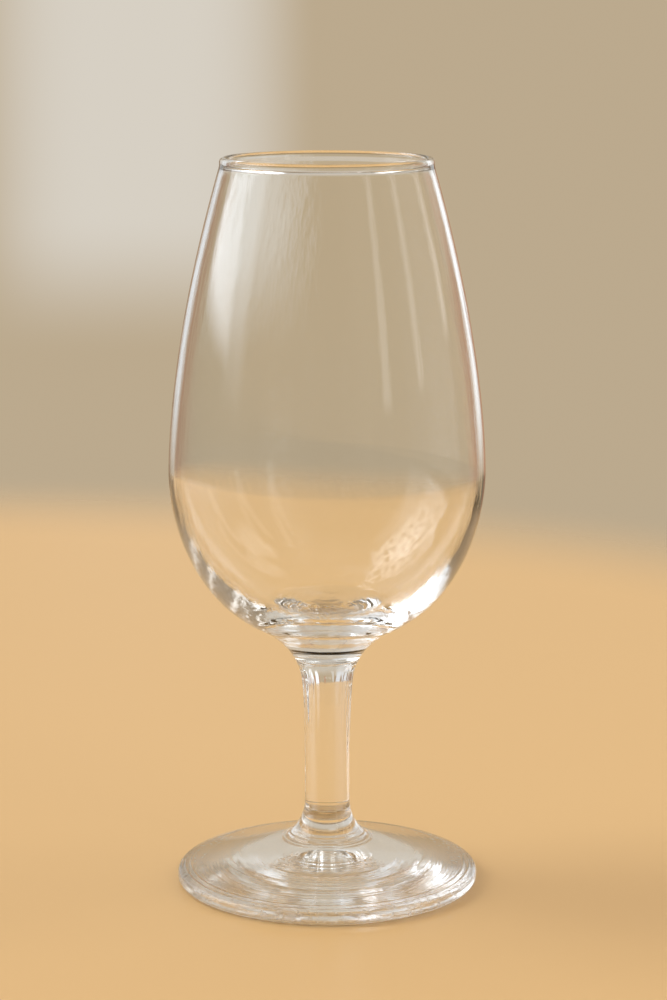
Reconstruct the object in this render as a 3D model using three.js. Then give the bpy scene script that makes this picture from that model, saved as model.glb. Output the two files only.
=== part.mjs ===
// Wine tasting glass: a tulip bowl on a solid stem with a flared head, and a round foot, all of clear glass.
// Millimetres, +Z up. The origin is the middle of the plane that the foot stands on.
// Each piece is turned about the Z axis from half of its section, drawn upwards from its own seat.
import * as THREE from "three";

// Foot: a pressed disc that rises to a flared boss, with a low conical hollow below inside a flat standing ring.
const FOOT_DIAMETER = 64.5;
const FOOT_HEIGHT = 16;
const FOOT_EDGE_HEIGHT = 2.8;
const FOOT_EDGE_TOP_ROUND = 1.2;
const FOOT_EDGE_LOW_ROUND = 0.9;
const STANDING_RING_WIDTH = 4;
const FOOT_HOLLOW = 4;
const HOLLOW_TOP_PULL = 1.6;
const HOLLOW_EDGE_PULL = 8.2;
const HOLLOW_EDGE_SLOPE_DEGREES = 3.2;
const BOSS_DIAMETER = 20.5;
const BOSS_HEIGHT = 8.9;
const BOSS_SLOPE_DEGREES = 17.5;
const BOSS_PULL = 2.6;
const DISC_PULL = 8;
const DISC_EDGE_SLOPE_DEGREES = 13;
const BOSS_LIP = 0.15;
const BOSS_LIP_HEIGHT = 0.6;
const BOSS_LEAN_DEGREES = 12;
const BOSS_TOP_PULL = 3;

// Stem: solid, with a slight waist, and flared above its neck into a head under the bowl.
const STEM_LENGTH = 32.8;
const STEM_FOOT_DIAMETER = 9.7;
const STEM_FOOT_PULL = 8;
const WAIST_DIAMETER = 9.5;
const NECK_DIAMETER = 10.74;
const NECK_LEAN_DEGREES = 6;
const NECK_LOW_PULL = 6;
const NECK_TOP_PULL = 1.9;
const HEAD_HEIGHT = 5;
const HEAD_PULL = 2;

// Joint: the weld between the stem's head and the bowl's throat, where the outline leans outwards.
const JOINT_DIAMETER = 14;
const JOINT_LEAN_DEGREES = 28;

// Bowl: outside sizes first, then the wall, the bead on the rim and the thick heel.
const BOWL_HEIGHT = 106.2;
const BOWL_DIAMETER = 66.8;
const WIDEST_HEIGHT = 40.8;
const RIM_DIAMETER = 44.6;
const RIM_LEAN_DEGREES = 16.5;
const RIM_PULL = 35.3;
const UPPER_PULL = 6;
const LOWER_PULL = 9.1;
const TURN_DIAMETER = 30.4;
const TURN_HEIGHT = 7.2;
const TURN_SLOPE_DEGREES = 27.5;
const HEEL_PULL = 16.5;
const FLARE_PULL = 5.8;
const THROAT_PULL = 2;
const WALL = 1;
const BEAD_PROUD = 0.4;
const HEEL_WALL = 3.8;
const HEEL_TAPER = 1.5;
const BASE_THICKNESS = 10.9;
const FLOOR_EDGE_PULL = 3;
const FLOOR_PULL = 6;

// How finely the round sections are cut.
const TURN_SIDES = 48;
const WALL_STEPS = 9;
const HEEL_STEPS = 9;
const FLARE_STEPS = 7;
const BEAD_STEPS = 6;
const FLOOR_STEPS = 6;
const STEM_STEPS = 6;
const HEAD_STEPS = 5;
const LIP_STEPS = 2;
const DISC_STEPS = 6;
const ROUND_STEPS = 3;
const HOLLOW_STEPS = 6;

// Clear glass, a little greyer where it is thicker.
const FOOT_COLOUR = 0xe6ebe8;
const STEM_COLOUR = 0xe4e9e7;
const BOWL_COLOUR = 0xeef2f0;
const GLASS_ROUGHNESS = 0.04;
const GLASS_OPACITY = 0.45;

const QUARTER_TURN = Math.PI / 2;
const SAME_POINT = 1e-6;

// A point of a half section: distance from the axis, then height above the piece's seat.
function at(radius, height) {
  return new THREE.Vector2(radius, height);
}

// A step of a given length, at an angle above the outward horizontal.
function step(length, degrees) {
  const angle = THREE.MathUtils.degToRad(degrees);
  return at(length * Math.cos(angle), length * Math.sin(angle));
}

// A smooth stretch between two points, held at each end by a step towards its middle.
function stretch(start, startStep, end, endStep) {
  const first = start.clone().add(startStep);
  const second = end.clone().add(endStep);
  return new THREE.CubicBezierCurve(start, first, second, end);
}

// Points beside an upward curve, moved towards the axis by a thickness given along the curve.
function inset(curve, steps, thicknessAt) {
  const points = [];
  for (let i = 0; i <= steps; i++) {
    const along = i / steps;
    const heading = curve.getTangent(along);
    const inward = at(-heading.y, heading.x);
    points.push(curve.getPoint(along).addScaledVector(inward, thicknessAt(along)));
  }
  return points;
}

// Joins stretches of a section end to end, with each shared point kept once.
function join(...stretches) {
  const points = [];
  for (const stretchPoints of stretches) {
    const shared = points.length > 0 && points.at(-1).distanceTo(stretchPoints[0]) < SAME_POINT;
    points.push(...stretchPoints.slice(shared ? 1 : 0));
  }
  return points;
}

// A closed body turned from a half section that starts and ends on the axis.
function turned(name, colour, section) {
  const geometry = new THREE.LatheGeometry(section, TURN_SIDES);
  geometry.rotateX(QUARTER_TURN);
  const glass = new THREE.MeshStandardMaterial({
    color: colour,
    roughness: GLASS_ROUGHNESS,
    metalness: 0,
    transparent: true,
    opacity: GLASS_OPACITY,
  });
  const mesh = new THREE.Mesh(geometry, glass);
  mesh.name = name;
  return mesh;
}

// The foot, from the hollow underneath, round its edge and up to the weld under the stem.
function makeFoot() {
  const rim = FOOT_DIAMETER / 2;
  const lowRound = Math.min(FOOT_EDGE_LOW_ROUND, FOOT_EDGE_HEIGHT / 2);
  const topRound = Math.min(FOOT_EDGE_TOP_ROUND, FOOT_EDGE_HEIGHT / 2);
  const ringOuter = rim - lowRound;
  const ringInner = ringOuter - STANDING_RING_WIDTH;
  const hollow = stretch(
    at(0, FOOT_HOLLOW),
    at(HOLLOW_TOP_PULL, 0),
    at(ringInner, 0),
    step(HOLLOW_EDGE_PULL, 180 - HOLLOW_EDGE_SLOPE_DEGREES),
  );
  const lowEdge = new THREE.EllipseCurve(ringOuter, lowRound, lowRound, lowRound, -QUARTER_TURN, 0);
  const topAngle = QUARTER_TURN - THREE.MathUtils.degToRad(DISC_EDGE_SLOPE_DEGREES);
  const topEdge = new THREE.EllipseCurve(
    rim - topRound,
    FOOT_EDGE_HEIGHT - topRound,
    topRound,
    topRound,
    0,
    topAngle,
  );
  const boss = at(BOSS_DIAMETER / 2, BOSS_HEIGHT);
  const disc = stretch(
    topEdge.getPoint(1),
    step(DISC_PULL, 180 - DISC_EDGE_SLOPE_DEGREES),
    boss,
    step(DISC_PULL, -BOSS_SLOPE_DEGREES),
  );
  const weld = at(STEM_FOOT_DIAMETER / 2, FOOT_HEIGHT);
  const lip = at(weld.x + BOSS_LIP, FOOT_HEIGHT - BOSS_LIP_HEIGHT);
  const flare = stretch(
    boss,
    step(BOSS_PULL, 180 - BOSS_SLOPE_DEGREES),
    lip,
    step(BOSS_TOP_PULL, BOSS_LEAN_DEGREES - 90),
  );
  const shoulder = new THREE.EllipseCurve(weld.x, lip.y, BOSS_LIP, BOSS_LIP_HEIGHT, 0, QUARTER_TURN);
  return turned(
    "foot",
    FOOT_COLOUR,
    join(
      hollow.getPoints(HOLLOW_STEPS),
      lowEdge.getPoints(ROUND_STEPS),
      topEdge.getPoints(ROUND_STEPS),
      disc.getPoints(DISC_STEPS),
      flare.getPoints(FLARE_STEPS),
      shoulder.getPoints(LIP_STEPS),
      [at(0, FOOT_HEIGHT)],
    ),
  );
}

// The stem, from its weld on the foot, up its side and head, to its weld under the bowl.
function makeStem() {
  const low = at(STEM_FOOT_DIAMETER / 2, 0);
  const neck = at(NECK_DIAMETER / 2, STEM_LENGTH - HEAD_HEIGHT);
  const joint = at(JOINT_DIAMETER / 2, STEM_LENGTH);
  const neckAngle = 90 - NECK_LEAN_DEGREES;
  const waistStep = at(WAIST_DIAMETER / 2 - low.x, STEM_FOOT_PULL);
  const side = stretch(low, waistStep, neck, step(-NECK_LOW_PULL, neckAngle));
  const head = stretch(
    neck,
    step(NECK_TOP_PULL, neckAngle),
    joint,
    step(-HEAD_PULL, 90 - JOINT_LEAN_DEGREES),
  );
  return turned(
    "stem",
    STEM_COLOUR,
    join([at(0, 0)], side.getPoints(STEM_STEPS), head.getPoints(HEAD_STEPS), [at(0, STEM_LENGTH)]),
  );
}

// The bowl, up the outside, over the bead on the rim and down the inside to the floor.
function makeBowl() {
  const throat = at(JOINT_DIAMETER / 2, 0);
  const turn = at(TURN_DIAMETER / 2, TURN_HEIGHT);
  const widest = at(BOWL_DIAMETER / 2, WIDEST_HEIGHT);
  const beadRadius = WALL / 2 + BEAD_PROUD;
  const beadCentre = at(RIM_DIAMETER / 2 - beadRadius, BOWL_HEIGHT - beadRadius);
  const beadStart = -Math.acos(WALL / 2 / beadRadius);
  const bead = new THREE.EllipseCurve(
    beadCentre.x,
    beadCentre.y,
    beadRadius,
    beadRadius,
    beadStart,
    Math.PI - beadStart,
    false,
    THREE.MathUtils.degToRad(RIM_LEAN_DEGREES),
  );
  const flare = stretch(
    throat,
    step(THROAT_PULL, 90 - JOINT_LEAN_DEGREES),
    turn,
    step(-FLARE_PULL, TURN_SLOPE_DEGREES),
  );
  const heel = stretch(turn, step(HEEL_PULL, TURN_SLOPE_DEGREES), widest, at(0, -LOWER_PULL));
  const wall = stretch(widest, at(0, UPPER_PULL), bead.getPoint(0), step(RIM_PULL, RIM_LEAN_DEGREES - 90));
  const insideWall = inset(wall, WALL_STEPS, () => WALL);
  const heelThickness = (along) => WALL + (HEEL_WALL - WALL) * (1 - along) ** HEEL_TAPER;
  const insideHeel = inset(heel, HEEL_STEPS, heelThickness);
  const floor = stretch(
    insideHeel[0],
    step(-FLOOR_EDGE_PULL, TURN_SLOPE_DEGREES),
    at(0, BASE_THICKNESS),
    at(FLOOR_PULL, 0),
  );
  return turned(
    "bowl",
    BOWL_COLOUR,
    join(
      [at(0, 0)],
      flare.getPoints(FLARE_STEPS),
      heel.getPoints(HEEL_STEPS),
      wall.getPoints(WALL_STEPS),
      bead.getPoints(BEAD_STEPS),
      insideWall.reverse(),
      insideHeel.reverse(),
      floor.getPoints(FLOOR_STEPS),
    ),
  );
}

// Each piece stands on the weld at the top of the one below it.
const foot = makeFoot();
const stem = makeStem();
stem.position.z = FOOT_HEIGHT;
const bowl = makeBowl();
bowl.position.z = stem.position.z + STEM_LENGTH;

const tastingGlass = new THREE.Group();
tastingGlass.name = "wine_tasting_glass";
tastingGlass.add(foot, stem, bowl);

export default tastingGlass;
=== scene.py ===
# %% [markdown]
# # A wine tasting glass
# The real glass is made of three gathers of clear glass that are welded to each other while hot: a
# pressed foot, a stem with a flared head and a blown tulip bowl with a thick heel and a melted bead on
# its rim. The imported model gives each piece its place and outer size. This lesson turns the fine surface
# of each piece, gives it a glass finish and sets up the light that makes clear glass readable.

# %% Load the frame
import math

import bpy
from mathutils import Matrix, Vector


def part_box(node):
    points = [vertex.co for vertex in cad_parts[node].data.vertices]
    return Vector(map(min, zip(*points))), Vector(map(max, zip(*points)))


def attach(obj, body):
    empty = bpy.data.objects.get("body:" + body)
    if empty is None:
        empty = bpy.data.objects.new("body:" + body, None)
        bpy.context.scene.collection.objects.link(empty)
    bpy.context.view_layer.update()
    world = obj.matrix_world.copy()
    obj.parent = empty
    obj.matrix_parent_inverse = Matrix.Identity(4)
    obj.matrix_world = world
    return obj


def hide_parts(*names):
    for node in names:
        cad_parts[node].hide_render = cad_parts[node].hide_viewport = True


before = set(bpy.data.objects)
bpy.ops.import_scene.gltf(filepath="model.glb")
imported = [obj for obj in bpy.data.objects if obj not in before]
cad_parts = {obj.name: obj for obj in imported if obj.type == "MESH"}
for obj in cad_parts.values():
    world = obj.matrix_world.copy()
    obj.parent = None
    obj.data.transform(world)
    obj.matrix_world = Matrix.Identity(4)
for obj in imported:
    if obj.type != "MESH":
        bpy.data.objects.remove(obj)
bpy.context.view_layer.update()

print("Pieces in the frame:", sorted(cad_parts))

# %% [markdown]
# ## The camera
# The photograph looks a little down on the glass through a long lens, so the rim shows as a thin ellipse
# and the foot as a wider one. How much wider, together with the known height, gives the distance and the
# lens. A small step of the camera to the right puts the glass as far left of the middle as the photograph
# has it.

# %% Camera
MM = 0.001
IMAGE_HEIGHT_PIXELS = 1000
FOCAL_PIXELS = 2773
CAMERA_BACK = 575 * MM
CAMERA_UP = 194.3 * MM
CAMERA_ASIDE = 1.35 * MM
CAMERA_PITCH_DEGREES = 10.96
CAMERA_NEAR = 10 * MM

bpy.ops.object.select_all(action="DESELECT")
bpy.ops.object.camera_add(
    location=(CAMERA_ASIDE, -CAMERA_BACK, CAMERA_UP),
    rotation=(math.radians(90 - CAMERA_PITCH_DEGREES), 0, 0),
)
camera = bpy.context.object
camera.name = "camera"
camera.data.lens = camera.data.sensor_width * FOCAL_PIXELS / IMAGE_HEIGHT_PIXELS
camera.data.clip_start = CAMERA_NEAR
bpy.context.scene.camera = camera
print("Lens in mm:", round(camera.data.lens, 1))

# %% [markdown]
# ## Drawing a half section
# Every piece of this glass is round, so its shape is one line: half of the section, drawn from the axis
# outwards, up the outside and back to the axis. Such a line could be clicked point by point, but glass
# shows every bump. Short smooth stretches, each held by a step at both ends as a pen curve is, stay
# smooth at any fineness.

# %% Points, steps and stretches
def at(radius, height):
    """A point of a half section: distance from the axis, then height."""
    return Vector((radius, height))


def step(length, degrees):
    """A step of a given length, at an angle above the outward horizontal."""
    angle = math.radians(degrees)
    return at(length * math.cos(angle), length * math.sin(angle))


def stretch(start, start_step, end, end_step):
    """A smooth line between two points, held at each end by a step towards its middle."""
    first = start + start_step
    second = end + end_step

    def place(along):
        left = 1 - along
        return left**3 * start + 3 * left * along * (left * first + along * second) + along**3 * end

    def heading(along):
        left = 1 - along
        way = left**2 * (first - start) + 2 * left * along * (second - first) + along**2 * (end - second)
        return way.normalized()

    return place, heading


# %% [markdown]
# ## Along and beside a stretch
# A stretch becomes points of the section when it is traced. The inside of a wall follows its outside, so
# its points are set off from the same stretch at right angles. Drawn on its own, the inside would let the
# wall swell and thin, and clear glass shows that at once.

# %% Tracing helpers
def trace(line, count, begin=0.0, finish=1.0):
    """Points along a stretch, from one share of it to another."""
    place = line[0]
    return [place(begin + (finish - begin) * i / count) for i in range(count + 1)]


def beside(line, count, thickness, begin=0.0, finish=1.0):
    """Points beside an upward stretch, moved towards the axis by a thickness given along it."""
    place, heading = line
    points = []
    for i in range(count + 1):
        along = begin + (finish - begin) * i / count
        way = heading(along)
        points.append(place(along) + thickness(along) * at(-way.y, way.x))
    return points


# %% [markdown]
# ## Arcs, ridges and joins
# Rounded edges are arcs. Marks of a mould are fine ridges, added to points that are already traced. In the
# end all stretches are joined into one line. A point that two of them share is kept once, because a
# doubled point would make faces without area.

# %% Arc, ridge and join helpers
def arc(centre, across, up, begin, finish, count, tilt=0.0):
    """Points on a round or oval arc, with angles in degrees above the outward horizontal."""
    points = []
    lean = math.radians(tilt)
    for i in range(count + 1):
        angle = math.radians(begin + (finish - begin) * i / count)
        out = across * math.cos(angle)
        rise = up * math.sin(angle)
        across_lean = out * math.cos(lean) - rise * math.sin(lean)
        up_lean = out * math.sin(lean) + rise * math.cos(lean)
        points.append(centre + at(across_lean, up_lean))
    return points


def with_rings(points, radii, height, width):
    """The same points with a fine round ridge raised at each of these distances from the axis."""
    raised = []
    for point in points:
        rise = sum(height * math.exp(-(((point.x - radius) / width) ** 2)) for radius in radii)
        raised.append(at(point.x, point.y + rise))
    return raised


SAME_POINT = 0.0005 * MM


def join(*parts):
    """Stretches end to end, with each shared point kept once."""
    points = []
    for part in parts:
        for point in part:
            if not points or (points[-1] - point).length > SAME_POINT:
                points.append(point)
    return points


# %% [markdown]
# ## Turning a section
# A glass worker keeps the piece turning the whole time. Here one vertex is drawn out along the section
# with extrude, and spin carries that line once round the axis. The start and end of the turn are then
# merged, the faces are pointed outwards and the surface is shaded smooth, except at the sharp edge of
# each flat weld.

# %% Turning helper
TURN_STEPS = 192
SHARP_DEGREES = 50


def turn(name, section, seat):
    """A closed piece spun from a half section that stands on a seat at this height."""
    bpy.ops.object.select_all(action="DESELECT")
    start = section[0]
    bpy.ops.mesh.primitive_plane_add(size=MM, location=(0, 0, 0))
    piece = bpy.context.object
    piece.name = name
    piece.data.name = name
    bpy.ops.object.mode_set(mode="EDIT")
    bpy.ops.mesh.select_all(action="SELECT")
    bpy.ops.mesh.merge(type="CENTER")
    bpy.ops.transform.translate(value=(start.x, 0, start.y + seat))
    for before, after in zip(section, section[1:]):
        move = after - before
        bpy.ops.mesh.extrude_vertices_move(TRANSFORM_OT_translate={"value": (move.x, 0, move.y)})
    bpy.ops.mesh.select_all(action="SELECT")
    bpy.ops.mesh.spin(steps=TURN_STEPS, angle=2 * math.pi, center=(0, 0, 0), axis=(0, 0, 1))
    bpy.ops.mesh.select_all(action="SELECT")
    bpy.ops.mesh.remove_doubles(threshold=SAME_POINT)
    bpy.ops.mesh.normals_make_consistent(inside=False)
    bpy.ops.object.mode_set(mode="OBJECT")
    bpy.ops.object.shade_smooth_by_angle(angle=math.radians(SHARP_DEGREES))
    print(name, "has", len(section), "section points and", len(piece.data.polygons), "faces")
    return piece


# %% [markdown]
# ## The foot
# The foot is pressed in a mould: a disc with a rounded edge that rises to a flared boss under the stem.
# Fine rings round the boss and along the edge are the marks of the mould. Underneath, the disc stands on
# a narrow flat ring and rises inside it in a low hollow cone. The slope of that cone decides where the
# floor shows through and where the foot mirrors.

# %% Foot sizes
foot_low, foot_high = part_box("foot")
FOOT_RADIUS = foot_high.x
FOOT_HEIGHT = foot_high.z
FOOT_EDGE_HEIGHT = 2.8 * MM
FOOT_TOP_ROUND = 1.2 * MM
FOOT_LOW_ROUND = 0.9 * MM
STANDING_RING = 4 * MM
FOOT_HOLLOW = 4 * MM
HOLLOW_TOP_PULL = 1.6 * MM
HOLLOW_EDGE_PULL = 8.2 * MM
HOLLOW_EDGE_SLOPE = 3.2
DISC_EDGE_SLOPE = 13
DISC_PULL = 8 * MM
BOSS = at(10.25 * MM, 8.9 * MM)
BOSS_SLOPE = 17.5
BOSS_PULL = 2.6 * MM
BOSS_TOP_LEAN = 12
BOSS_TOP_PULL = 3 * MM
FOOT_WELD_RADIUS = 4.85 * MM
FOOT_LIP = 0.15 * MM
FOOT_LIP_HEIGHT = 0.6 * MM
BOSS_RINGS = (7.4 * MM, 8.2 * MM, 9.5 * MM)
EDGE_RINGS = (FOOT_RADIUS - 2.8 * MM, FOOT_RADIUS - 1.6 * MM)
MOULD_RING_HEIGHT = 0.1 * MM
MOULD_RING_WIDTH = 0.22 * MM
HOLLOW_STEPS = 40
LOW_ROUND_STEPS = 8
TOP_ROUND_STEPS = 10
DISC_STEPS = 144
BOSS_STEPS = 64
LIP_STEPS = 6
print("Foot diameter and height in mm:", round(2 * FOOT_RADIUS / MM, 2), round(FOOT_HEIGHT / MM, 2))

# %% Foot
def foot_section():
    """From the middle of the hollow, round the edge and up the boss to the middle of the weld."""
    ring_outer = FOOT_RADIUS - FOOT_LOW_ROUND
    ring_inner = ring_outer - STANDING_RING
    hollow = stretch(
        at(0, FOOT_HOLLOW),
        at(HOLLOW_TOP_PULL, 0),
        at(ring_inner, 0),
        step(HOLLOW_EDGE_PULL, 180 - HOLLOW_EDGE_SLOPE),
    )
    low_edge = arc(at(ring_outer, FOOT_LOW_ROUND), FOOT_LOW_ROUND, FOOT_LOW_ROUND, -90, 0, LOW_ROUND_STEPS)
    top_centre = at(FOOT_RADIUS - FOOT_TOP_ROUND, FOOT_EDGE_HEIGHT - FOOT_TOP_ROUND)
    top_edge = arc(top_centre, FOOT_TOP_ROUND, FOOT_TOP_ROUND, 0, 90 - DISC_EDGE_SLOPE, TOP_ROUND_STEPS)
    disc = stretch(top_edge[-1], step(DISC_PULL, 180 - DISC_EDGE_SLOPE), BOSS, step(DISC_PULL, -BOSS_SLOPE))
    lip = at(FOOT_WELD_RADIUS + FOOT_LIP, FOOT_HEIGHT - FOOT_LIP_HEIGHT)
    flare = stretch(BOSS, step(BOSS_PULL, 180 - BOSS_SLOPE), lip, step(BOSS_TOP_PULL, BOSS_TOP_LEAN - 90))
    shoulder = arc(at(FOOT_WELD_RADIUS, lip.y), FOOT_LIP, FOOT_LIP_HEIGHT, 0, 90, LIP_STEPS)
    top = join(trace(disc, DISC_STEPS), trace(flare, BOSS_STEPS))
    return join(
        trace(hollow, HOLLOW_STEPS),
        low_edge,
        top_edge,
        with_rings(top, BOSS_RINGS + EDGE_RINGS, MOULD_RING_HEIGHT, MOULD_RING_WIDTH),
        shoulder,
        [at(0, FOOT_HEIGHT)],
    )


foot = turn("pressed_foot", foot_section(), foot_low.z)

# %% [markdown]
# ## The stem
# The stem is drawn out of the hot glass, so it has a slight waist, and it flares into a head where it
# meets the bowl. The weld there shows as a fine crease, so the section turns in a little at its upper end.

# %% Stem sizes
stem_low, stem_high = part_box("stem")
STEM_LENGTH = stem_high.z - stem_low.z
WAIST_RADIUS = 4.75 * MM
STEM_FOOT_PULL = 8 * MM
NECK_RADIUS = 5.37 * MM
NECK_LEAN = 6
NECK_LOW_PULL = 6 * MM
NECK_TOP_PULL = 1.9 * MM
HEAD_HEIGHT = 5 * MM
HEAD_PULL = 2 * MM
JOINT_RADIUS = stem_high.x
JOINT_LEAN = 28
CREASE_DEPTH = 0.22 * MM
CREASE_PULL = 0.2 * MM
CREASE_SHARE = 0.06
SIDE_STEPS = 64
HEAD_STEPS = 40
CREASE_STEPS = 8
print("Stem length in mm:", round(STEM_LENGTH / MM, 2))

# %% Stem
def stem_section():
    """From the middle of the lower weld, up the side and into the crease to the middle of the upper weld."""
    low = at(FOOT_WELD_RADIUS, 0)
    neck = at(NECK_RADIUS, STEM_LENGTH - HEAD_HEIGHT)
    joint = at(JOINT_RADIUS, STEM_LENGTH)
    weld = at(JOINT_RADIUS - CREASE_DEPTH, STEM_LENGTH)
    to_waist = at(WAIST_RADIUS - low.x, STEM_FOOT_PULL)
    side = stretch(low, to_waist, neck, step(-NECK_LOW_PULL, 90 - NECK_LEAN))
    head = stretch(neck, step(NECK_TOP_PULL, 90 - NECK_LEAN), joint, step(-HEAD_PULL, 90 - JOINT_LEAN))
    under_crease = trace(head, HEAD_STEPS, 0, 1 - CREASE_SHARE)
    crease = stretch(under_crease[-1], step(CREASE_PULL, 90 - JOINT_LEAN), weld, at(CREASE_PULL, 0))
    return join(
        [at(0, 0)],
        trace(side, SIDE_STEPS),
        under_crease,
        trace(crease, CREASE_STEPS),
        [at(0, STEM_LENGTH)],
    )


stem = turn("drawn_stem", stem_section(), stem_low.z)

# %% [markdown]
# ## The flutes
# Drawing leaves upright flutes under the crease. They are almost too shallow to feel, but they break up the
# light. A bump in the finish would bend the light as well, but the mesh itself would stay plain. So the
# vertices are moved in a wave round the stem that fades downwards.

# %% Flutes
FLUTE_COUNT = 17
FLUTE_DEPTH = 0.085 * MM
FLUTE_START = 0.5 * MM
FLUTE_REACH = 5.2 * MM
FLUTE_UNEVENNESS = 0.35
FLUTE_SWELLS = 3
FLUTE_TURN = 1


def flute(piece, head_height):
    """Moves the vertices below the head in and out in an uneven wave round the stem."""
    for vertex in piece.data.vertices:
        place = vertex.co
        radius = math.hypot(place.x, place.y)
        if radius < SAME_POINT:
            continue
        below = max(0.0, head_height - FLUTE_START - place.z) / FLUTE_REACH
        fade = below * math.exp(1 - below) * radius / WAIST_RADIUS
        angle = math.atan2(place.y, place.x)
        depth = 1 - FLUTE_UNEVENNESS + FLUTE_UNEVENNESS * math.cos(FLUTE_SWELLS * angle + FLUTE_TURN)
        uneven = math.cos(FLUTE_COUNT * angle) * depth
        swell = 1 + FLUTE_DEPTH * fade * uneven / radius
        place.x *= swell
        place.y *= swell


flute(stem, stem_high.z)
print("Flutes:", FLUTE_COUNT, "and about", round(FLUTE_DEPTH / MM, 3), "mm deep")

# %% [markdown]
# ## The bowl
# The bowl is blown in a mould: it opens from the throat, turns up sharply, is widest below its middle and
# leans in to a narrow rim that holds the scent of the wine. The wall is thin, but the heel is thick and
# solid. The rim is melted, which draws the edge into a round bead. The plunger leaves fine rings on the
# floor inside.

# %% Bowl sizes
bowl_low, bowl_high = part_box("bowl")
BOWL_HEIGHT = 106.2 * MM
BOWL_RADIUS = bowl_high.x
WIDEST_HEIGHT = 40.8 * MM
RIM_RADIUS = 22.3 * MM
RIM_LEAN = 16.5
RIM_PULL = 35.3 * MM
UPPER_PULL = 6 * MM
LOWER_PULL = 9.1 * MM
TURN_POINT = at(15.2 * MM, 7.2 * MM)
TURN_SLOPE = 27.5
HEEL_PULL = 16.5 * MM
FLARE_PULL = 5.8 * MM
THROAT_PULL = 2 * MM
WALL = 1 * MM
HEEL_WALL = 3.8 * MM
HEEL_TAPER = 1.5
BEAD_RADIUS = 0.95 * MM
BEAD_PROUD = 0.3 * MM
BEAD_FILLET = 0.8 * MM
BEAD_FILLET_PULL = 0.3 * MM
BEAD_GRIP = 28
BASE_THICKNESS = 10.9 * MM
BASE_EDGE_PULL = 3 * MM
BASE_PULL = 6 * MM
BASE_RINGS = (2.2 * MM, 4 * MM, 5.8 * MM, 7.4 * MM, 8.8 * MM)
BASE_RING_HEIGHT = 0.045 * MM
BASE_RING_WIDTH = 0.4 * MM
THROAT_STEPS = 36
HEEL_STEPS = 56
WALL_STEPS = 72
BEAD_STEPS = 26
FILLET_STEPS = 10
BASE_STEPS = 56
print("Bowl diameter and height in mm:", round(2 * BOWL_RADIUS / MM, 2), round(BOWL_HEIGHT / MM, 2))

# %% Bowl
def heel_thickness(along):
    """The heel's wall, from its full thickness at the turn to the plain wall at the widest level."""
    return WALL + (HEEL_WALL - WALL) * (1 - along) ** HEEL_TAPER


def bowl_section():
    """From the middle of the weld, up the outside, over the bead and down the inside to the base."""
    throat = at(JOINT_RADIUS, 0)
    weld = at(JOINT_RADIUS - CREASE_DEPTH, 0)
    widest = at(BOWL_RADIUS, WIDEST_HEIGHT)
    bead_centre = at(RIM_RADIUS - BEAD_RADIUS, BOWL_HEIGHT - BEAD_RADIUS)
    foot_of_bead = math.degrees(math.acos((BEAD_RADIUS - BEAD_PROUD) / BEAD_RADIUS))
    wall_end = arc(bead_centre, BEAD_RADIUS, BEAD_RADIUS, -foot_of_bead, 0, 1, RIM_LEAN)[0]
    flare = stretch(throat, step(THROAT_PULL, 90 - JOINT_LEAN), TURN_POINT, step(-FLARE_PULL, TURN_SLOPE))
    over_crease = trace(flare, THROAT_STEPS, CREASE_SHARE, 1)
    crease = stretch(weld, at(CREASE_PULL, 0), over_crease[0], step(-CREASE_PULL, 90 - JOINT_LEAN))
    heel = stretch(TURN_POINT, step(HEEL_PULL, TURN_SLOPE), widest, at(0, -LOWER_PULL))
    wall = stretch(widest, at(0, UPPER_PULL), wall_end, step(RIM_PULL, RIM_LEAN - 90))
    below_bead = 1 - BEAD_FILLET / (3 * RIM_PULL)
    outside = trace(wall, WALL_STEPS, 0, below_bead)
    inside = beside(wall, WALL_STEPS, lambda along: WALL, 0, below_bead)
    bead = arc(bead_centre, BEAD_RADIUS, BEAD_RADIUS, -BEAD_GRIP, 180 + BEAD_GRIP, BEAD_STEPS, RIM_LEAN)
    up_wall = wall[1](below_bead) * BEAD_FILLET_PULL
    into_bead = step(BEAD_FILLET_PULL, RIM_LEAN - BEAD_GRIP - 90)
    out_of_bead = step(BEAD_FILLET_PULL, RIM_LEAN + BEAD_GRIP - 90)
    outer_fillet = stretch(outside[-1], up_wall, bead[0], into_bead)
    inner_fillet = stretch(bead[-1], out_of_bead, inside[-1], up_wall)
    inside_heel = beside(heel, HEEL_STEPS, heel_thickness)
    base_edge = step(-BASE_EDGE_PULL, TURN_SLOPE)
    base = stretch(inside_heel[0], base_edge, at(0, BASE_THICKNESS), at(BASE_PULL, 0))
    return join(
        [at(0, 0)],
        trace(crease, CREASE_STEPS),
        over_crease,
        trace(heel, HEEL_STEPS),
        outside,
        trace(outer_fillet, FILLET_STEPS),
        bead,
        trace(inner_fillet, FILLET_STEPS),
        inside[::-1],
        inside_heel[::-1],
        with_rings(trace(base, BASE_STEPS), BASE_RINGS, BASE_RING_HEIGHT, BASE_RING_WIDTH),
    )


bowl = turn("tulip_bowl", bowl_section(), bowl_low.z)

# %% [markdown]
# ## Shader sums
# Blender's materials are graphs of nodes, and long sums of Math nodes are hard to read. This small class
# wraps a node's output, so that sums on it can be written as Python expressions that add the nodes by
# themselves. A few kinds of node that the finishes and the room share are methods of it.

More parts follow.
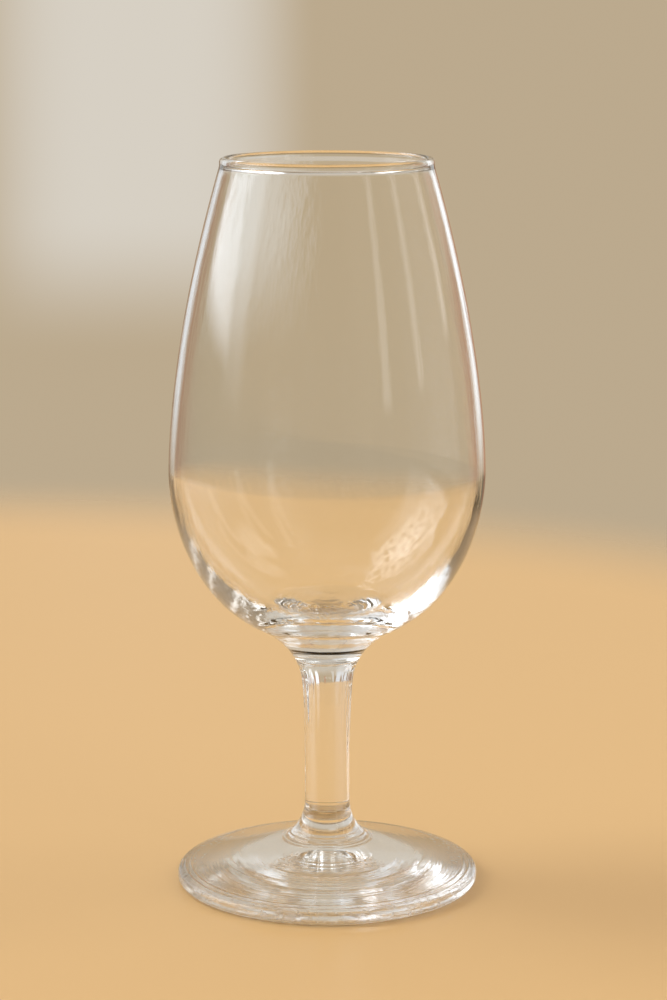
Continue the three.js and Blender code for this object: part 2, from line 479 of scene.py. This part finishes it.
# %% Wire class
class Wire:
    """An output of a shader node that can stand in a Python expression."""

    def __init__(self, tree, socket=None):
        self.tree = tree
        self.socket = socket

    def node(self, kind, settings=None, sockets=None, output=0):
        """Adds a node with these settings and socket values or links, and wraps one of its outputs."""
        added = self.tree.nodes.new(kind)
        for name, value in (settings or {}).items():
            setattr(added, name, value)
        for name, value in (sockets or {}).items():
            if isinstance(value, Wire):
                self.tree.links.new(value.socket, added.inputs[name])
            else:
                added.inputs[name].default_value = value
        return Wire(self.tree, added.outputs[output])

    def sum(self, operation, first, second):
        """A Math node on two wires or numbers."""
        return self.node("ShaderNodeMath", {"operation": operation}, {0: first, 1: second})

    def __add__(self, other):
        return self.sum("ADD", self, other)

    def __radd__(self, other):
        return self.sum("ADD", other, self)

    def __rsub__(self, other):
        return self.sum("SUBTRACT", other, self)

    def __mul__(self, other):
        return self.sum("MULTIPLY", self, other)

    def ramp(self, low, high):
        """A smooth rise from 0 at low to 1 at high."""
        return self.node(
            "ShaderNodeMapRange",
            {"interpolation_type": "SMOOTHSTEP"},
            {"Value": self, "From Min": low, "From Max": high},
        )

    def noise(self, scale, detail, crispness=0.5):
        """Cloudy noise over this place, finer with a larger scale."""
        sockets = {"Vector": self, "Scale": scale, "Detail": detail, "Roughness": crispness}
        return self.node("ShaderNodeTexNoise", None, sockets)

    def vector(self, operation, output, other=(0, 0, 0)):
        """A Vector Math node on this place or direction and, where it takes two, another one."""
        return self.node("ShaderNodeVectorMath", {"operation": operation}, {0: self, 1: other}, output)

    def part(self, axis):
        """The X, Y or Z part of this place or direction."""
        return self.node("ShaderNodeSeparateXYZ", None, {"Vector": self}, axis)


# %% New finish helper
def new_tree(name):
    """A material with an empty node tree, with its output node and a wire to start from."""
    material = bpy.data.materials.new(name)
    material.use_nodes = True
    material.node_tree.nodes.clear()
    output = material.node_tree.nodes.new("ShaderNodeOutputMaterial")
    return material, output, Wire(material.node_tree)


# %% [markdown]
# ## The welds
# Where two gathers were pressed together hot, the glass is one: nothing shows inside. In the model the
# two flat faces of each weld are still there, so they get a finish that light passes straight through.

# %% Weld finish
def make_weld_finish():
    material, output, wire = new_tree("clear_weld")
    clear = wire.node("ShaderNodeBsdfTransparent", None, {"Color": (1, 1, 1, 1)})
    material.node_tree.links.new(clear.socket, output.inputs["Surface"])
    return material


clear_weld = make_weld_finish()
print("Weld finish:", clear_weld.name)

# %% [markdown]
# ## Blown and pressed glass
# Clear glass has almost no colour of its own. What makes it look real is what the maker and the hand
# leave on it: upright waves from blowing and drawing, rings from pressing, a breath of haze and, under
# the foot, scuffs where it stands. The waves and rings go into a bump, and the haze and the scuffs into
# the roughness.

# %% Glass finish
GLASS_INDEX = 1.52
GLASS_TINT = (0.985, 0.99, 0.985, 1)
RING_SIZE = 2.5 * MM
LEVEL_PART = (1, 1, 0)
NOISE_DETAIL = 4.0
WAVE_CRISPNESS = 0.55
HAZE_SCALE = 60.0
HAZE_RANGE = (0.5, 0.8)
HAZE_ROUGHNESS = 0.02
SCUFF_LEVELS = (0.05 * MM, 0.25 * MM)
SCUFF_SCALE = 900.0
SCUFF_DETAIL = 5.0
SCUFF_RANGE = (0.4, 0.7)
SCUFF_ROUGHNESS = 0.35


def make_glass_finish(name, wave_stretch, wave_size, wave_height, ring_height, scuffed):
    material, output, wire = new_tree(name)
    place = wire.node("ShaderNodeTexCoord", None, None, "Object")
    drawn = wire.node("ShaderNodeMapping", None, {"Vector": place, "Scale": wave_stretch})
    waves = drawn.noise(1 / wave_size, NOISE_DETAIL, WAVE_CRISPNESS)
    radius = place.vector("MULTIPLY", "Vector", LEVEL_PART).vector("LENGTH", "Value")
    rings = wire.node(
        "ShaderNodeTexNoise",
        {"noise_dimensions": "1D"},
        {"W": radius, "Scale": 1 / RING_SIZE, "Detail": NOISE_DETAIL},
    )
    height = waves * wave_height + rings * ring_height
    haze = place.noise(HAZE_SCALE, NOISE_DETAIL)
    roughness = haze.ramp(*HAZE_RANGE) * HAZE_ROUGHNESS
    if scuffed:
        low = 1 - place.part("Z").ramp(*SCUFF_LEVELS)
        scratches = place.noise(SCUFF_SCALE, SCUFF_DETAIL)
        roughness = roughness + low * scratches.ramp(*SCUFF_RANGE) * SCUFF_ROUGHNESS
    bump = wire.node("ShaderNodeBump", None, {"Strength": 1.0, "Distance": 1.0, "Height": height})
    shader = wire.node(
        "ShaderNodeBsdfPrincipled",
        None,
        {
            "Base Color": GLASS_TINT,
            "Roughness": roughness,
            "IOR": GLASS_INDEX,
            "Transmission Weight": 1.0,
            "Normal": bump,
        },
    )
    material.node_tree.links.new(shader.socket, output.inputs["Surface"])
    return material


# %% Blown and pressed finish
blown_glass = make_glass_finish(
    "blown_glass",
    wave_stretch=(1, 1, 0.06),
    wave_size=5 * MM,
    wave_height=0.04 * MM,
    ring_height=0,
    scuffed=False,
)
pressed_glass = make_glass_finish(
    "pressed_glass",
    wave_stretch=(1, 1, 0.6),
    wave_size=9 * MM,
    wave_height=0.024 * MM,
    ring_height=0.06 * MM,
    scuffed=True,
)
print("Glass finishes:", blown_glass.name, "and", pressed_glass.name)

# %% [markdown]
# ## Dressing the pieces
# Each piece takes its glass in the first slot and the clear weld in the second. A face belongs to a weld
# if it lies flat at the height where the piece meets its neighbour.

# %% Dress the pieces
WELD_REACH = 0.01 * MM
LEVEL_NORMAL = 0.999


def dress(piece, node, finish, welds):
    """Gives a piece its finish and welds, and lets it stand for its node on the body."""
    piece.data.materials.append(finish)
    piece.data.materials.append(clear_weld)
    welded = 0
    for face in piece.data.polygons:
        level = abs(face.normal.z) > LEVEL_NORMAL
        if level and any(abs(face.center.z - height) < WELD_REACH for height in welds):
            face.material_index = 1
            welded += 1
    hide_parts(node)
    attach(piece, "root")
    print(piece.name, "has", welded, "weld faces")


dress(foot, "foot", pressed_glass, [foot_high.z])
dress(stem, "stem", pressed_glass, [stem_low.z, stem_high.z])
dress(bowl, "bowl", blown_glass, [bowl_low.z])

# %% [markdown]
# ## The floor
# The glass stands on a plain pale floor in a warm honey tone. Its far edge would cut a hard line behind
# the bowl, so the floor fades out towards its rim, as a floor sweeps up into a backdrop.

# %% Floor
FLOOR_RADIUS = 480 * MM
FLOOR_FADE = 360 * MM
FLOOR_GAP = 0.15 * MM
FLOOR_ASIDE = -150 * MM
FLOOR_SIDES = 128
FLOOR_COLOUR = (0.80, 0.50, 0.21, 1)
FLOOR_ROUGHNESS = 0.3


def make_floor_finish():
    material, output, wire = new_tree("pale_floor")
    place = wire.node("ShaderNodeTexCoord", None, None, "Object")
    away = place.vector("LENGTH", "Value")
    paint = wire.node(
        "ShaderNodeBsdfPrincipled",
        None,
        {"Base Color": FLOOR_COLOUR, "Roughness": FLOOR_ROUGHNESS},
    )
    gone = wire.node("ShaderNodeBsdfTransparent")
    fade = away.ramp(FLOOR_FADE, FLOOR_RADIUS)
    shader = wire.node("ShaderNodeMixShader", None, {0: fade, 1: paint, 2: gone})
    material.node_tree.links.new(shader.socket, output.inputs["Surface"])
    return material


bpy.ops.object.select_all(action="DESELECT")
bpy.ops.mesh.primitive_circle_add(vertices=FLOOR_SIDES, radius=FLOOR_RADIUS, fill_type="NGON")
floor = bpy.context.object
floor.name = "floor"
floor.location = (FLOOR_ASIDE, 0, -FLOOR_GAP)
floor.data.materials.append(make_floor_finish())
print("Floor radius in m:", FLOOR_RADIUS)

# %% [markdown]
# ## The surroundings
# Clear glass shows nothing of its own: it bends and mirrors what stands round it. So the world is painted
# as a simple studio: a plain greige wall behind, darker sides, soft boxes where the bright patches of the
# glass come from, and narrow strips, some pale and some dark, that draw its edges and streaks.

# %% Panels of the room
SOFT_BOX_LIGHT = (2.6, 2.75, 2.95, 1)
UPPER_BOX_LIGHT = (4.4, 4.6, 4.8, 1)
BOX_SIDE_LIGHT = (1.2, 1.28, 1.36, 1)
MOTTLING_LIGHT = (0.66, 0.72, 0.66, 1)
TUBE_LIGHT = (1.25, 1.2, 1.12, 1)
RIGHT_BOX_LIGHT = (2.0, 2.0, 1.95, 1)

# Each panel: azimuth from behind the glass towards the right, half width, lowest and highest elevation and
# how soft its edges are, all in degrees, then its colour. Later panels cover earlier ones.
PANELS = {
    "dark_front": (-160, 38, -30, 65, 12, (0.17, 0.13, 0.09, 1)),
    "right_corner": (42, 11, 4, 60, 7, (0.62, 0.58, 0.51, 1)),
    "upper_wall": (0, 32, 10, 80, 8, (0.62, 0.55, 0.45, 1)),
    "left_corner": (-26, 10, 4, 80, 6, (0.70, 0.67, 0.62, 1)),
    "pale_screen": (-46, 12, 16, 80, 5, (1.0, 1.02, 1.04, 1)),
    "pale_wall": (-4, 2.2, -6.5, 12, 1.5, (0.68, 0.63, 0.55, 1)),
    "left_strip": (-15, 5.5, -20, 3, 2, (0.40, 0.27, 0.17, 1)),
    "right_strip": (15, 5.5, -20, 3, 2, (0.50, 0.29, 0.18, 1)),
    "left_brown": (-46, 9, -20, 8, 4, (0.34, 0.21, 0.15, 1)),
    "right_brown": (46, 8, -20, 3, 3, (0.34, 0.21, 0.15, 1)),
    "left_edge_light": (-28, 7, -8, 12, 4, (0.80, 0.81, 0.82, 1)),
    "right_edge_light": (28, 7, -8, 16, 3, (1.12, 1.14, 1.15, 1)),
    "left_soft_box": (-77, 19, 6, 62, 2.5, SOFT_BOX_LIGHT),
    "left_soft_box_side": (-102, 7, 6, 55, 6, BOX_SIDE_LIGHT),
    "upper_soft_box": (-77, 16, 28, 60, 5, UPPER_BOX_LIGHT),
    "soft_box_mottling": (-77, 19, 14, 62, 4, MOTTLING_LIGHT),
    "right_tube_1": (69, 2.5, 4, 50, 1.5, TUBE_LIGHT),
    "right_tube_2": (104, 2.5, 4, 50, 1.5, TUBE_LIGHT),
    "right_tube_3": (134, 2.5, 4, 50, 1.5, TUBE_LIGHT),
    "right_soft_box": (80, 9, 30, 58, 5, RIGHT_BOX_LIGHT),
}
print("The room has", len(PANELS), "panels")

# %% [markdown]
# ## Soft panels
# A panel is a patch of directions and not a lamp or a plane, so nothing stands in the way of another view.
# Its mask is one inside the patch and falls to zero over a soft edge, because a hard edge would show in the
# glass as a cut.

# %% Panel helpers
def panel_mask(across, rise, azimuth, half_width, lowest, highest, softness):
    """One inside a soft-edged panel of the room and zero outside it."""
    turn_angle = math.radians(azimuth)
    centre = (math.sin(turn_angle), math.cos(turn_angle), 0)
    facing = across.vector("DOT_PRODUCT", "Value", centre)
    inner = math.cos(math.radians(max(0, half_width - softness)))
    outer = math.cos(math.radians(half_width + softness))
    bottom = rise.ramp(math.sin(math.radians(lowest - softness)), math.sin(math.radians(lowest + softness)))
    top = rise.ramp(math.sin(math.radians(highest - softness)), math.sin(math.radians(highest + softness)))
    return facing.ramp(outer, inner) * bottom * (1 - top)


def blend(wire, share, first, second):
    """A colour between two, by a share from 0 to 1."""
    return wire.node("ShaderNodeMix", {"data_type": "RGBA"}, {0: share, 6: first, 7: second}, 2)


# %% [markdown]
# ## Painting the room
# The walls and the ceiling come first, the panels are laid over them one by one, and what lies below the
# floor covers them all. Rays that see the room meet it as it is painted. Rays that light the floor get a
# little more, so that the floor keeps its honey tone.

# %% World
WALL_COLOUR = (0.50, 0.40, 0.27, 1)
ROOM_COLOUR = (0.29, 0.24, 0.18, 1)
UNDER_COLOUR = (0.30, 0.22, 0.12, 1)
CEILING_COLOUR = (0.58, 0.54, 0.48, 1)
FLOOR_LIGHT = 1.35
MOTTLING_SCALE = 12.0
MOTTLING_DETAIL = 3.0
MOTTLING_RANGE = (0.50, 0.64)
SEEING_RAYS = ("Camera", "Glossy", "Transmission")

# Where the back wall and the ceiling begin and where the part below the floor ends. Each fades between two
# values of one part of a direction of length one: the part to the back for the wall, and the part upwards
# for the ceiling and below the floor.
WALL_BEGINS = (0.4, 0.9)
CEILING_BEGINS = (0.75, 0.92)
UNDER_ENDS = (-0.28, -0.21)


def make_world():
    world = bpy.data.worlds.new("studio")
    bpy.context.scene.world = world
    world.use_nodes = True
    tree = world.node_tree
    tree.nodes.clear()
    wire = Wire(tree)
    direction = wire.node("ShaderNodeTexCoord", None, None, "Generated")
    rise = direction.part("Z")
    across = direction.vector("MULTIPLY", "Vector", LEVEL_PART).vector("NORMALIZE", "Vector")
    room = blend(wire, across.part("Y").ramp(*WALL_BEGINS), ROOM_COLOUR, WALL_COLOUR)
    room = blend(wire, rise.ramp(*CEILING_BEGINS), room, CEILING_COLOUR)
    mottling = direction.noise(MOTTLING_SCALE, MOTTLING_DETAIL)
    for name, (azimuth, half_width, lowest, highest, softness, colour) in PANELS.items():
        mask = panel_mask(across, rise, azimuth, half_width, lowest, highest, softness)
        if name == "soft_box_mottling":
            mask = mask * mottling.ramp(*MOTTLING_RANGE)
        room = blend(wire, mask, room, colour)
    room = blend(wire, rise.ramp(*UNDER_ENDS), UNDER_COLOUR, room)
    seen = sum(wire.node("ShaderNodeLightPath", None, None, f"Is {kind} Ray") for kind in SEEING_RAYS)
    depth = wire.node("ShaderNodeLightPath", None, None, "Diffuse Depth")
    straight = wire.sum("MINIMUM", seen, 1.0) * (1 - wire.sum("MINIMUM", depth, 1.0))
    strength = FLOOR_LIGHT - straight * (FLOOR_LIGHT - 1)
    shader = wire.node("ShaderNodeBackground", None, {"Color": room, "Strength": strength})
    output = tree.nodes.new("ShaderNodeOutputWorld")
    tree.links.new(shader.socket, output.inputs["Surface"])
    print("The world", world.name, "has", len(tree.nodes), "nodes")


make_world()

# %% [markdown]
# ## Light through glass
# In clear glass one ray passes many surfaces, and each of them counts as a bounce. With the usual limits the
# thick parts would turn dark, so the limits are raised. The plain view transform keeps the painted colours
# as they are.

# %% Light limits
LIGHT_BOUNCES = 32
bpy.context.scene.cycles.max_bounces = LIGHT_BOUNCES
bpy.context.scene.cycles.glossy_bounces = LIGHT_BOUNCES
bpy.context.scene.cycles.transmission_bounces = LIGHT_BOUNCES
bpy.context.scene.cycles.transparent_max_bounces = LIGHT_BOUNCES
bpy.context.scene.view_settings.view_transform = "Standard"
print("Light bounces:", LIGHT_BOUNCES)
